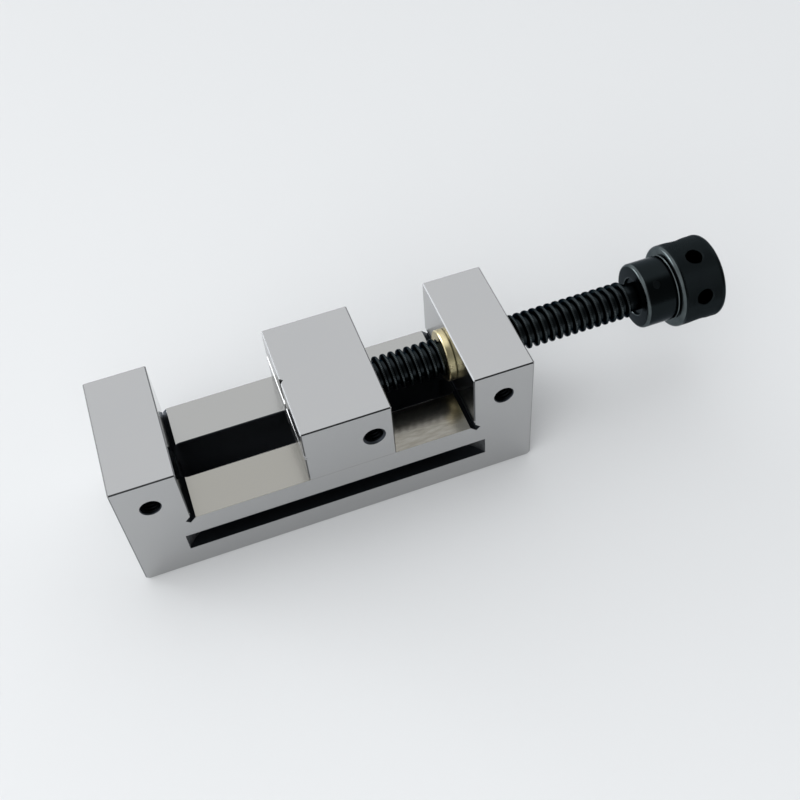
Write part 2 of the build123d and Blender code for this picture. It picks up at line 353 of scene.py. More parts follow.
@dataclass(frozen=True)
class GroundSteel(Finish):
    """Hardened tool steel: ground bright on its outside, black where no wheel reached.

    The regions say where it is black, rough milled, left as a bed, darkened as painted shade on the
    nut block's face, mirror bright, on an edge break or darkened in streaks as painted shade on the
    front rail by the nut block. The scale that stays on black steel has its height in line heights.
    """

    black: Regions
    milled: Regions = ()
    bed: Regions = ()
    dull_and_shaded: Regions = ()
    bright: Regions = ()
    edges: Regions = ()
    nut_shaded: Regions = ()
    tone: Colour = (0.450, 0.455, 0.460)
    cloud_tone: Colour = (0.468, 0.468, 0.468)
    # The rail tones are darker than the jaws: the back rail's partly a duller grind and partly
    # painted shade between the jaws, the front rail's darker still as painted shade.
    bed_tone: Colour = (0.405, 0.405, 0.395)
    front_rail_shade_tone: Colour = (0.355, 0.345, 0.315)
    roughness: float = 0.25
    streak_roughness: float = 0.02
    # The edge break tone is darker partly as their own duller finish and partly as painted dark
    # reflection.
    edge_tone: Colour = (0.145, 0.148, 0.152)
    bed_roughness: float = 0.18
    # The nut face tone is painted shade and painted dark reflection of the screw and slot; its
    # roughness is its own.
    dull_roughness: float = 0.24
    dull_tone: Colour = (0.25, 0.27, 0.28)
    # Painted shade in streaks on the front rail, darker towards the nut block, with its streak
    # pitch.
    nut_shade_tone: Colour = (0.17, 0.155, 0.125)
    shade_streak_pitch: Place = (160.0, 700.0, 1.0)
    bright_roughness: float = 0.08
    cloud_scale: float = 35.0
    line_pitch: Place = (60.0, 2600.0, 2600.0)
    line_height: float = 0.00005 * MM
    black_tone: Colour = (0.055, 0.062, 0.072)
    milled_tone: Colour = (0.30, 0.305, 0.31)
    black_roughness: float = 0.5
    scale_grain: float = 900.0
    scale_height: float = 30.0

    def draw(self, shader: Shader) -> Material:
        """Draw the ground steel, then lay each region's tone and polish over it; the rail, nut
        face, rail streak and edge break tones are painted shade in whole or in part.

        Args:
            shader: The new material's empty tree.

        Returns:
            The finished material.
        """
        whole, x, y, z = shader.place()
        black, milled, bed, dull_and_shaded, bright, edges, nut_shaded = (
            cover(regions, x, y, z)
            for regions in (
                self.black, self.milled, self.bed, self.dull_and_shaded, self.bright, self.edges, self.nut_shaded
            )
        )
        cloud = shader.noise(whole, self.cloud_scale)
        lines = shader.noise(shader.stretched(whole, self.line_pitch), 1.0, detail=3.0)
        scale = shader.noise(whole, self.scale_grain, detail=3.0)
        shade_streaks = shader.noise(shader.stretched(whole, self.shade_streak_pitch), 1.0, detail=4.0)
        # The front rail's darker tone is painted shade.
        rails = shader.mix(y < 0.0, self.bed_tone, self.front_rail_shade_tone)
        ground = shader.mix(cloud, self.tone, self.cloud_tone)
        for share, tone in (
            (bed, rails),
            (nut_shaded * shade_streaks, self.nut_shade_tone),
            (dull_and_shaded, self.dull_tone),
            (edges, self.edge_tone),
        ):
            ground = shader.mix(share, ground, tone)
        streak = self.streak_roughness
        polish = shader.spread(lines, self.roughness - streak, self.roughness + streak)
        for share, roughness in (
            (bed, self.bed_roughness),
            (dull_and_shaded, self.dull_roughness),
            (bright, self.bright_roughness),
        ):
            polish = polish + share * (roughness - self.roughness)
        dark = shader.mix(milled * scale, self.black_tone, self.milled_tone)
        height = lines * (1 - black) + scale * black * self.scale_height
        return shader.finish(
            Base_Color=shader.mix(black, ground, dark),
            Roughness=polish * (1 - black) + black * self.black_roughness,
            Metallic=1.0,
            Normal=shader.bump(height, self.line_height),
        )


@dataclass(frozen=True)
class TurnedMetal(Finish):
    """Bright metal turned on a lathe, with fine rings about the screw's axis."""

    tone: Colour
    dull_tone: Colour
    roughness: float
    smoother: float = 0.06
    rougher: float = 0.08
    cloud_scale: float = 260.0
    ring_pitch: float = 0.12 * MM
    ring_height: float = 0.0015 * MM

    def draw(self, shader: Shader) -> Material:
        """Draw the turned rings.

        Args:
            shader: The new material's empty tree.

        Returns:
            The finished material.
        """
        whole, x, y, z = shader.place()
        radius = shader.math("SQRT", squared_radius(y, z))
        rings = shader.math("SINE", (radius + x) * (FULL_TURN / self.ring_pitch))
        cloud = shader.noise(whole, self.cloud_scale, detail=3.0)
        smooth, rough = self.roughness - self.smoother, self.roughness + self.rougher
        return shader.finish(
            Base_Color=shader.mix(cloud, self.tone, self.dull_tone),
            Roughness=shader.spread(cloud, smooth, rough),
            Metallic=1.0,
            Normal=shader.bump(rings * 0.5 + 0.5, self.ring_height),
        )


@dataclass(frozen=True)
class WhiteSheet(Finish):
    """Matte white sheet that the vise stands on."""

    tone: Colour = (0.765, 0.775, 0.783)
    roughness: float = 0.7
    cloud_scale: float = 3.0
    cloud_shade: float = 0.98

    def draw(self, shader: Shader) -> Material:
        """Draw the faintly clouded white.

        Args:
            shader: The new material's empty tree.

        Returns:
            The finished material.
        """
        cloud = shader.noise(shader.place()[0], self.cloud_scale)
        shaded = tuple(self.cloud_shade * part for part in self.tone)
        return shader.finish(
            Base_Color=shader.mix(cloud, self.tone, shaded),
            Roughness=self.roughness,
            Metallic=0.0,
        )


class Bench:
    """The modelling steps that every new piece goes through."""

    @staticmethod
    def clear() -> None:
        """Leave edit mode and deselect everything."""
        if bpy.context.object and bpy.context.object.mode != "OBJECT":
            bpy.ops.object.mode_set(mode="OBJECT")
        bpy.ops.object.select_all(action="DESELECT")

    @staticmethod
    def pick(piece: Piece) -> None:
        """Make one piece the only selected and the active one."""
        Bench.clear()
        piece.select_set(True)
        bpy.context.view_layer.objects.active = piece

    @staticmethod
    def outline(name: str, points: Sequence[Point]) -> Piece:
        """Draw a chain of edges in the XZ plane by extruding one vertex along.

        Args:
            name: The piece's name.
            points: The chain's points as X and Z.

        Returns:
            The piece, left in edit mode with all selected.
        """
        Bench.clear()
        start = (points[0][0], 0.0, points[0][1])
        bpy.ops.mesh.primitive_plane_add(size=MM, location=start)
        piece = bpy.context.object
        piece.name = piece.data.name = name
        bpy.ops.object.transform_apply(location=True, rotation=True, scale=True)
        bpy.ops.object.mode_set(mode="EDIT")
        bpy.ops.mesh.select_mode(type="VERT")
        bpy.ops.mesh.select_all(action="SELECT")
        bpy.ops.mesh.merge(type="CENTER")
        for (x0, z0), (x1, z1) in zip(points, points[1:]):
            step = {"value": (x1 - x0, 0.0, z1 - z0)}
            bpy.ops.mesh.extrude_vertices_move(TRANSFORM_OT_translate=step)
        bpy.ops.mesh.select_all(action="SELECT")
        return piece

    @staticmethod
    def turn(name: str, points: Sequence[Point], steps: int) -> Piece:
        """Turn a profile about the screw's axis.

        Args:
            name: The piece's name.
            points: The profile as X and radius, from axis to axis or closed on itself.
            steps: Facets round the axis.

        Returns:
            The piece, in object mode.
        """
        piece = Bench.outline(name, [(x, SCREW_HEIGHT + radius) for x, radius in points])
        bpy.ops.mesh.spin(steps=steps, angle=FULL_TURN, center=(0, 0, SCREW_HEIGHT), axis=(1, 0, 0))
        Bench.weld()
        return piece

    @staticmethod
    def weld() -> None:
        """Merge doubles, turn all faces outwards and leave edit mode."""
        bpy.ops.mesh.select_all(action="SELECT")
        bpy.ops.mesh.remove_doubles(threshold=WELD)
        bpy.ops.mesh.select_all(action="SELECT")
        bpy.ops.mesh.normals_make_consistent(inside=False)
        bpy.ops.object.mode_set(mode="OBJECT")

    @staticmethod
    def modify(piece: Piece, kind: str, **settings: object) -> None:
        """Add a modifier and apply it.

        Args:
            piece: The piece.
            kind: The modifier's type.
            **settings: Its settings.
        """
        Bench.pick(piece)
        modifier = piece.modifiers.new(kind.lower(), kind)
        for key, setting in settings.items():
            setattr(modifier, key, setting)
        bpy.ops.object.modifier_apply(modifier=modifier.name)

    @staticmethod
    def combine(piece: Piece, tool: Piece, operation: str, solver: str = "EXACT") -> None:
        """Cut, keep or add the volume of another mesh, which is used up.

        Args:
            piece: The piece that changes.
            tool: The mesh that it is combined with.
            operation: DIFFERENCE, INTERSECT or UNION.
            solver: MANIFOLD where both meshes are closed and finely faceted.
        """
        Bench.modify(piece, "BOOLEAN", object=tool, operation=operation, solver=solver)
        bpy.data.meshes.remove(tool.data)

    @staticmethod
    def aim(piece: Piece, place: Place, direction: Vector) -> None:
        """Turn and move a piece that was made along the screw's axis, and apply that.

        Args:
            piece: The piece.
            place: Where its X = 0 goes.
            direction: Where its +X goes.
        """
        Bench.pick(piece)
        turn = Vector((1, 0, 0)).rotation_difference(direction).to_matrix().to_4x4()
        to_origin = Matrix.Translation((0, 0, -SCREW_HEIGHT))
        piece.matrix_world = Matrix.Translation(place) @ turn @ to_origin
        bpy.ops.object.transform_apply(location=True, rotation=True, scale=True)

    @staticmethod
    def smooth(piece: Piece, degrees: float = 32.0) -> None:
        """Shade smooth, except across edges sharper than this angle."""
        Bench.pick(piece)
        bpy.ops.object.shade_smooth_by_angle(angle=math.radians(degrees))

    @staticmethod
    def dress(
        piece: Piece, material: Material, slot: Slot, body: Body, stands_for: Sequence[str] = ()
    ) -> None:
        """Give a new piece its finish and its place in the frame.

        Args:
            piece: The new piece.
            material: Its material.
            slot: The record's slot that the finish belongs to; not used.
            body: The body that it moves with.
            stands_for: CAD nodes that it replaces.
        """
        piece.data.materials.clear()
        piece.data.materials.append(material)
        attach(piece, body.value)
        if stands_for:
            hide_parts(*stands_for)
        LOG.info("%s: %d faces, on %s", piece.name, len(piece.data.polygons), body.value)


@dataclass(frozen=True)
class ThreadForm:
    """Trapezoidal or vee thread as the outline of one pitch."""

    pitch: float
    crest_radius: float
    root_radius: float
    crest_width: float
    flank_angle: float
    rounding: float = 0.0
    rounding_angles: tuple[float, ...] = (75.0, 45.0, 15.0)
    steps: int = 64

    def outline(self, growth: float = 0.0) -> list[Point]:
        """One pitch of the thread, from root to root.

        Args:
            growth: How far every face moves outwards, for the mating thread.

        Returns:
            Points as X and radius.
        """
        flank = (self.crest_radius - self.root_radius) * math.tan(math.radians(self.flank_angle))
        middle, soft = self.pitch / 2, self.rounding
        corner = middle - self.crest_width / 2 - growth
        crest, root = self.crest_radius + growth, self.root_radius + growth
        rise = [(corner - flank, root)]
        for angle in self.rounding_angles if soft else (0.0,):
            bend = math.radians(angle)
            rise.append((corner + soft * (1 - math.sin(bend)), crest - soft * (1 - math.cos(bend))))
        fall = [(self.pitch - x, radius) for x, radius in reversed(rise)]
        return [(0.0, root), *rise, *fall, (self.pitch, root)]

    def rod(self, name: str, start: float, end: float, growth: float = 0.0) -> Piece:
        """A solid threaded rod about the screw's axis, cut square at both ends.

        Args:
            name: The piece's name.
            start: Its low end in X.
            end: Its high end in X.
            growth: How far its faces move outwards.

        Returns:
            The rod, in object mode. Its thread is in phase for every start.
        """
        first_turn = math.floor(start / self.pitch) - 1
        turns = math.ceil(end / self.pitch) - first_turn + 1
        shift = first_turn * self.pitch
        rod = Bench.outline(name, [(x + shift, radius) for x, radius in self.outline(growth)])
        bpy.ops.object.mode_set(mode="OBJECT")
        smoothing = {"use_merge_vertices": False, "use_smooth_shade": False}
        steps = {"steps": self.steps, "render_steps": self.steps, "iterations": turns}
        rise = {"axis": "X", "angle": FULL_TURN, "screw_offset": self.pitch}
        Bench.modify(rod, "SCREW", **rise, **steps, **smoothing)
        bpy.ops.object.mode_set(mode="EDIT")
        bpy.ops.mesh.select_all(action="SELECT")
        bpy.ops.mesh.remove_doubles(threshold=WELD)
        for place, inner, outer in ((start, True, False), (end, False, True)):
            bpy.ops.mesh.select_all(action="SELECT")
            plane = {"plane_co": (place, 0, 0), "plane_no": (1, 0, 0), "use_fill": True}
            bpy.ops.mesh.bisect(**plane, clear_inner=inner, clear_outer=outer)
        bpy.ops.mesh.select_all(action="SELECT")
        bpy.ops.transform.translate(value=(0, 0, SCREW_HEIGHT))
        Bench.weld()
        return rod


def chamfered_bar(
    name: str, start: float, end: float, radius: float, chamfer: float, steps: int
) -> Piece:
    """A round bar about the screw's axis with a chamfer at both ends.

    Args:
        name: The piece's name.
        start: Its low end in X.
        end: Its high end in X.
        radius: Its radius.
        chamfer: Width of the chamfers.
        steps: Facets round the axis.

    Returns:
        The bar, in object mode.
    """
    profile = [
        (start, 0.0),
        (start, radius - chamfer),
        (start + chamfer, radius),
        (end - chamfer, radius),
        (end, radius - chamfer),
        (end, 0.0),
    ]
    return Bench.turn(name, profile, steps)


@dataclass
class LeadScrew:
    """Black lead screw with its trapezoidal thread, plain shank and grooved nose."""

    form: ThreadForm = ThreadForm(
        pitch=3.0 * MM,
        crest_radius=6.9 * MM,
        root_radius=5.3 * MM,
        crest_width=1.2 * MM,
        flank_angle=15.0,
        rounding=0.42 * MM,
    )
    thread_start: float = 22.6 * MM
    thread_end: float = 120.4 * MM
    end_chamfer: float = 1.3 * MM
    nose_radius: float = 5.0 * MM
    groove_start: float = 12.8 * MM
    groove_end: float = 17.2 * MM
    groove_radius: float = 3.5 * MM
    shank_radius: float = 5.23 * MM
    end_ease: float = 0.5 * MM
    overlap: float = 1.0 * MM
    steps: int = 96

    def build(self, material: Material) -> None:
        """Model the screw and put it in the frame.

        Args:
            material: Its finish.
        """
        low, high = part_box("lead_screw")
        start, end, ease, overlap = self.thread_start, self.thread_end, self.end_ease, self.overlap
        screw = self.form.rod("lead_screw_threaded", start - overlap, end + overlap)
        nose, radius = self.nose_radius, self.form.crest_radius
        envelope = chamfered_bar("envelope", start, end, radius, self.end_chamfer, self.steps)
        Bench.combine(screw, envelope, "INTERSECT")
        core = [
            (low.x, 0.0),
            (low.x, nose - ease),
            (low.x + ease, nose),
            (self.groove_start, nose),
            (self.groove_start, self.groove_radius),
            (self.groove_end, self.groove_radius),
            (self.groove_end, nose),
            (start + overlap, nose),
            (start + overlap, nose - overlap),
            (end - overlap, nose - overlap),
            (end - overlap, self.shank_radius),
            (high.x - ease, self.shank_radius),
            (high.x, self.shank_radius - ease),
            (high.x, 0.0),
        ]
        Bench.combine(screw, Bench.turn("screw_core", core, self.steps), "UNION")
        Bench.smooth(screw)
        Bench.dress(screw, material, Slot.THREAD, Body.SCREW, ["lead_screw"])


@dataclass
class ScrewNut:
    """Turned brass nut with a flange on the jaw side and a real internal thread."""

    form: ThreadForm
    bore_gap: float = 0.08 * MM
    flange_thickness: float = 2.75 * MM
    sleeve_radius: float = 8.5 * MM
    edge: float = 0.35 * MM
    steps: int = 128

    def build(self, material: Material) -> None:
        """Model the nut and put it in the frame.

        Args:
            material: Its finish.
        """
        low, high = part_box("screw_nut")
        flange_radius = (high.z - low.z) / 2
        shoulder = low.x + self.flange_thickness
        profile = [
            (low.x, 0.0),
            (low.x, flange_radius - self.edge),
            (low.x + self.edge, flange_radius),
            (shoulder - self.edge, flange_radius),
            (shoulder, flange_radius - self.edge),
            (shoulder, self.sleeve_radius),
            (high.x - self.edge, self.sleeve_radius),
            (high.x, self.sleeve_radius - self.edge),
            (high.x, 0.0),
        ]
        nut = Bench.turn("screw_nut_turned", profile, self.steps)
        tap = self.form.rod("tap", low.x - MM, high.x + MM, self.bore_gap)
        Bench.combine(nut, tap, "DIFFERENCE")
        Bench.smooth(nut)
        Bench.dress(nut, material, Slot.BRASS, Body.BASE, ["screw_nut"])


@dataclass
class Knob:
    """Knob with a smooth hub, a diamond-knurled head and radial tommy holes."""

    hub_radius: float = 12.1 * MM
    hub_length: float = 12.3 * MM
    hub_round: float = 1.15 * MM
    bore_radius: float = 5.25 * MM
    bore_depth: float = 24.5 * MM
    bore_steps: int = 96
    recess_radius: float = 7.1 * MM
    recess_depth: float = 0.8 * MM
    lip: float = 0.1 * MM
    groove_width: float = 1.2 * MM
    groove_depth: float = 0.8 * MM
    step_width: float = 0.25 * MM
    head_round: float = 1.5 * MM
    knurl_rows: int = 28
    knurl_steps: int = 192
    knurl_depth: float = 0.22 * MM
    hole_radius: float = 3.0 * MM
    hole_mouth: float = 0.35 * MM
    hole_depth: float = 8.0 * MM
    hole_tip: float = 0.8 * MM
    hole_inset: float = 8.5 * MM
    hole_count: int = 6
    hole_steps: int = 48
    first_hole_angle: float = 101.0
    pin_radius: float = 1.5 * MM
    pin_x: float = 128.5 * MM
    pin_angle: float = 122.0
    pin_sink: float = 0.05 * MM
    pin_ease: float = 0.1 * MM
    crease: float = 28.0

    def profile(self, low_x: float, high_x: float, head_radius: float) -> list[Point]:
        """The knob's turned profile, with a point for every row of the knurl.

        Args:
            low_x: Its hub end.
            high_x: Its head end.
            head_radius: Outer radius of the head.

        Returns:
            Points as X and radius, from axis to axis.
        """
        hub, lip, hub_end = self.hub_radius, self.lip, low_x + self.hub_length
        floor, groove = low_x + self.recess_depth, hub_end - self.groove_width
        knurl_start = hub_end + self.head_round
        row = (high_x - hub_end - 2 * self.head_round) / self.knurl_rows
        rows = [(knurl_start + index * row, head_radius) for index in range(1, self.knurl_rows)]
        step = hub_end - self.step_width
        return [
            (floor, 0.0),
            (floor, self.recess_radius - 2 * lip),
            (low_x + 1.5 * lip, self.recess_radius - lip),
            (low_x, self.recess_radius + lip),
            *self.rounded(low_x, hub, self.hub_round, 1),
            (groove - lip, hub),
            (groove, hub - lip),
            (groove, hub - self.groove_depth),
            (step, hub - self.groove_depth),
            (step, hub),
            (hub_end, hub + self.step_width),
            *self.rounded(hub_end, head_radius, self.head_round, 1),
            *rows,
            *reversed(self.rounded(high_x, head_radius, self.head_round, -1)),
            (high_x, 0.0),
        ]

    @staticmethod
    def rounded(face_x: float, radius: float, size: float, inwards: int) -> list[Point]:
        """A rounded outer corner of the profile.

        Args:
            face_x: Place of the end face.
            radius: Radius of the cylinder that it meets.
            size: Radius of the rounding.
            inwards: 1 where the metal lies on the +X side of the face, else -1.

        Returns:
            Points from the face to the cylinder.
        """
        bends = [math.radians(angle) for angle in range(0, 91, 15)]
        return [
            (face_x + inwards * size * (1 - math.cos(bend)), radius - size * (1 - math.sin(bend)))
            for bend in bends
        ]

    def knurl(self, knob: Piece, start: float, end: float, radius: float) -> None:
        """Press the diamond pattern: every second point of the head's grid sinks.

        Args:
            knob: The turned knob.
            start: Where the pattern starts in X.
            end: Where it ends.
            radius: The head's radius.
        """
        row = (end - start) / self.knurl_rows
        for vertex in knob.data.vertices:
            x, y, z = vertex.co.x, vertex.co.y, vertex.co.z - SCREW_HEIGHT
            on_head = math.hypot(y, z) > radius - HAIR
            inside = start + row / 2 < x < end - row / 2
            column = round(math.atan2(z, y) / FULL_TURN * self.knurl_steps)
            vertex.select = on_head and inside and (round((x - start) / row) + column) % 2 == 1
        for part in (*knob.data.polygons, *knob.data.edges):
            part.select = False
        bpy.ops.object.mode_set(mode="EDIT")
        share = 1 - self.knurl_depth / radius
        bpy.ops.transform.resize(value=(1, share, share), center_override=(0, 0, SCREW_HEIGHT))
        bpy.ops.mesh.select_all(action="SELECT")
        bpy.ops.mesh.quads_convert_to_tris(quad_method="SHORTEST_DIAGONAL")
        bpy.ops.object.mode_set(mode="OBJECT")

    def drill(self, name: str, x: float, angle: float, points: Sequence[Point]) -> Piece:
        """A round cutter that points outwards from the screw's axis.

        Args:
            name: The cutter's name.
            x: Its place along the axis.
            angle: Its direction, in degrees from +Y.
            points: Its profile as distance from the screw's axis and radius.

        Returns:
            The cutter, in object mode.
        """
        cutter = Bench.turn(name, points, self.hole_steps)
        out = Vector((0, math.cos(math.radians(angle)), math.sin(math.radians(angle))))
        Bench.aim(cutter, (x, 0, SCREW_HEIGHT), out)
        return cutter

    def build(self, head: Material, pin: Material) -> None:
        """Model the knob and its pin and put them in the frame.

        Args:
            head: The knob's finish.
            pin: The pin's finish.
        """
        low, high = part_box("knob")
        radius = (high.z - low.z) / 2
        knob = Bench.turn("knob_knurled", self.profile(low.x, high.x, radius), self.knurl_steps)
        start = low.x + self.hub_length + self.head_round
        self.knurl(knob, start, high.x - self.head_round, radius)
        near, far, outside = low.x - MM, low.x + self.bore_depth, radius + MM
        bore = [(near, 0.0), (near, self.bore_radius), (far, self.bore_radius), (far, 0.0)]
        drill = Bench.turn("bore", bore, self.bore_steps)
        Bench.combine(knob, drill, "DIFFERENCE", "MANIFOLD")
        floor, mouth = radius - self.hole_depth, radius - self.hole_mouth - self.knurl_depth
        hole = [
            (floor - self.hole_tip, 0.0),
            (floor, self.hole_radius),
            (mouth, self.hole_radius),
            (outside, self.hole_radius + outside - mouth),
            (outside, 0.0),
        ]
        for index in range(self.hole_count):
            angle = self.first_hole_angle + index * 360 / self.hole_count
            drill = self.drill("hole", high.x - self.hole_inset, angle, hole)
            Bench.combine(knob, drill, "DIFFERENCE", "MANIFOLD")
        ream = self.pin_radius + HAIR
        pin_hole = [(-radius, 0.0), (-radius, ream), (radius, ream), (radius, 0.0)]
        reamer = self.drill("pin_hole", self.pin_x, self.pin_angle, pin_hole)
        Bench.combine(knob, reamer, "DIFFERENCE", "MANIFOLD")
        Bench.smooth(knob, self.crease)
        Bench.dress(knob, head, Slot.KNOB, Body.SCREW, ["knob"])
        self.build_pin(pin)

    def build_pin(self, material: Material) -> None:
        """Model the cross pin and put it in the frame.

        Args:
            material: Its finish.
        """
        reach, ease = self.hub_radius - self.pin_sink, self.pin_ease
        half = [(reach - ease, self.pin_radius), (reach, self.pin_radius - ease), (reach, 0.0)]
        profile = [(-x, radius) for x, radius in reversed(half)] + half
        pin = self.drill("knob_pin_turned", self.pin_x, self.pin_angle, profile)
        Bench.smooth(pin)
        Bench.dress(pin, material, Slot.OXIDE, Body.SCREW, ["knob_pin"])


@dataclass
class TappedHoles:
    """Thread turns inside the M8 side holes of body and jaw."""

    form: ThreadForm = ThreadForm(
        pitch=1.25 * MM,
        crest_radius=3.34 * MM,
        root_radius=3.1 * MM,
        crest_width=0.3 * MM,
        flank_angle=55.0,
        steps=48,
    )
    wall_radius: float = 3.395 * MM
    wall_chamfer: float = 0.1 * MM
    wall_steps: int = 96
    depth: float = 8.0 * MM
    mouth: float = 0.7 * MM

    def build(self, holes: dict[str, tuple[float, Body]], material: Material) -> None:
        """Model one threaded lining and copy it to every hole.

        Args:
            holes: Place in X and body for the name of each pair of holes.
            material: The lining's finish.
        """
        radius, chamfer = self.wall_radius, self.wall_chamfer
        wall = chamfered_bar("lining", 0.0, self.depth, radius, chamfer, self.wall_steps)
        Bench.combine(wall, self.form.rod("hole_tap", -MM, self.depth + MM), "DIFFERENCE")
        Bench.smooth(wall)
        for name, (x, body) in holes.items():
            for side, sign in (("front", -1), ("back", 1)):
                Bench.pick(wall)
                bpy.ops.object.duplicate()
                lining = bpy.context.object
                lining.name = lining.data.name = f"{name}_thread_{side}"
                outer = sign * (HALF_WIDTH - self.mouth)
                Bench.aim(lining, (x, outer, SCREW_HEIGHT), Vector((0, -sign, 0)))
                Bench.dress(lining, material, Slot.OXIDE, body)
        bpy.data.meshes.remove(wall.data)


@dataclass(frozen=True)
class Softbox:
    """Soft lamp that shows only by the light and shadow that it throws on matt things."""

    name: str
    place: Place
    size: Point
    watts: float
    target: Place = (0.0, 0.0, 40.0 * MM)

    def hang(self) -> None:
        """Make the lamp and turn it to its target."""
        data = bpy.data.lights.new(self.name, "AREA")
        data.shape = "RECTANGLE"
        data.size, data.size_y = self.size
        data.energy = self.watts
        lamp = bpy.data.objects.new(self.name, data)
        lamp.location = self.place
        direction = Vector(self.target) - Vector(self.place)
        lamp.rotation_euler = direction.to_track_quat("-Z", "Y").to_euler()
        lamp.visible_camera = lamp.visible_glossy = False
        bpy.context.scene.collection.objects.link(lamp)


@dataclass
class Studio:
    """Floor, light and the camera that repeats the photograph's view."""

    sensor: float = 36.0
    focal_pixels: float = 1086.37
    image_pixels: float = 800.0
    azimuth: float = -15.13
    elevation: float = 51.08
    roll: float = -5.6
    eye: Place = (-33.22 * MM, -240.44 * MM, 330.82 * MM)
    clip_start: float = 10.0 * MM
    floor_size: float = 6.0
    room_tone: Colour = (0.97, 0.985, 1.0)
    room_level: float = 1.09
    ceiling_edge: Point = (60.0, 78.0)
    ceiling_share: float = 0.15
    dark_side: Place = (0.47, -0.67, 0.57)
    dark_edge: Point = (32.0, 52.0)
    dark_share: float = 0.82
    back_window: Place = (0.17, 0.65, 0.74)
    back_edge: Point = (28.0, 52.0)
    left_window: Place = (-0.747, 0.650, 0.139)
    left_edge: Point = (8.0, 18.0)
    left_gain: float = 4.6
    lamps: tuple[Softbox, ...] = (
        Softbox("window", (-1.42, 0.05, 0.37), (3.0, 0.5), 15.0),
        Softbox("corner_lamp", (-0.65, -1.2, 1.1), (2.2, 1.5), 12.5),
    )

    def camera(self) -> None:
        """Create the camera from its angles and place."""
        turn, lift, tilt = (math.radians(a) for a in (self.azimuth, self.elevation, self.roll))
        flat = math.cos(lift)
        back = Vector((math.sin(turn) * flat, -math.cos(turn) * flat, math.sin(lift)))
        level = Vector((0, 0, 1)).cross(back).normalized()
        rise = back.cross(level)
        right = level * math.cos(tilt) + rise * math.sin(tilt)
        up = rise * math.cos(tilt) - level * math.sin(tilt)
        data = bpy.data.cameras.new("camera")
        data.sensor_width = self.sensor
        data.lens = self.sensor * self.focal_pixels / self.image_pixels
        data.clip_start = self.clip_start
        eye = bpy.data.objects.new("camera", data)
        axes = Matrix((right, up, back)).transposed().to_4x4()
        eye.matrix_world = Matrix.Translation(self.eye) @ axes
        bpy.context.scene.collection.objects.link(eye)
        bpy.context.scene.camera = eye

    def floor(self) -> None:
        """Lay the white sheet."""
        Bench.clear()
        bpy.ops.mesh.primitive_plane_add(size=self.floor_size)
        sheet = bpy.context.object
        sheet.name = "floor"
        sheet.data.materials.append(WhiteSheet().build("white_sheet"))

    def room(self) -> None:
        """Surround the vise with pale walls, a dim ceiling, a dark side and two windows."""
        room = bpy.data.worlds.new("room")
        bpy.context.scene.world = room
        shader = Shader(room)
        direction = shader.wire(shader.node("TexCoord"), "Generated")
        ceiling = shader.towards(direction, (0.0, 0.0, 1.0), *self.ceiling_edge)
        back = shader.towards(direction, self.back_window, *self.back_edge)
        dark = shader.towards(direction, self.dark_side, *self.dark_edge)
        left = shader.towards(direction, self.left_window, *self.left_edge)
        level = (1 - ceiling * (1 - back) * self.ceiling_share) * (1 - dark * self.dark_share)
        level = (level + left * self.left_gain) * self.room_level
        light = shader.node("Background", Color=self.room_tone, Strength=level)
        shader.node("OutputWorld", in0=shader.wire(light))

    def build(self) -> None:
        """Set up the whole studio."""
        bpy.context.scene.view_settings.view_transform = "Standard"
        self.camera()
        self.floor()
        self.room()
        for lamp in self.lamps:
            lamp.hang()


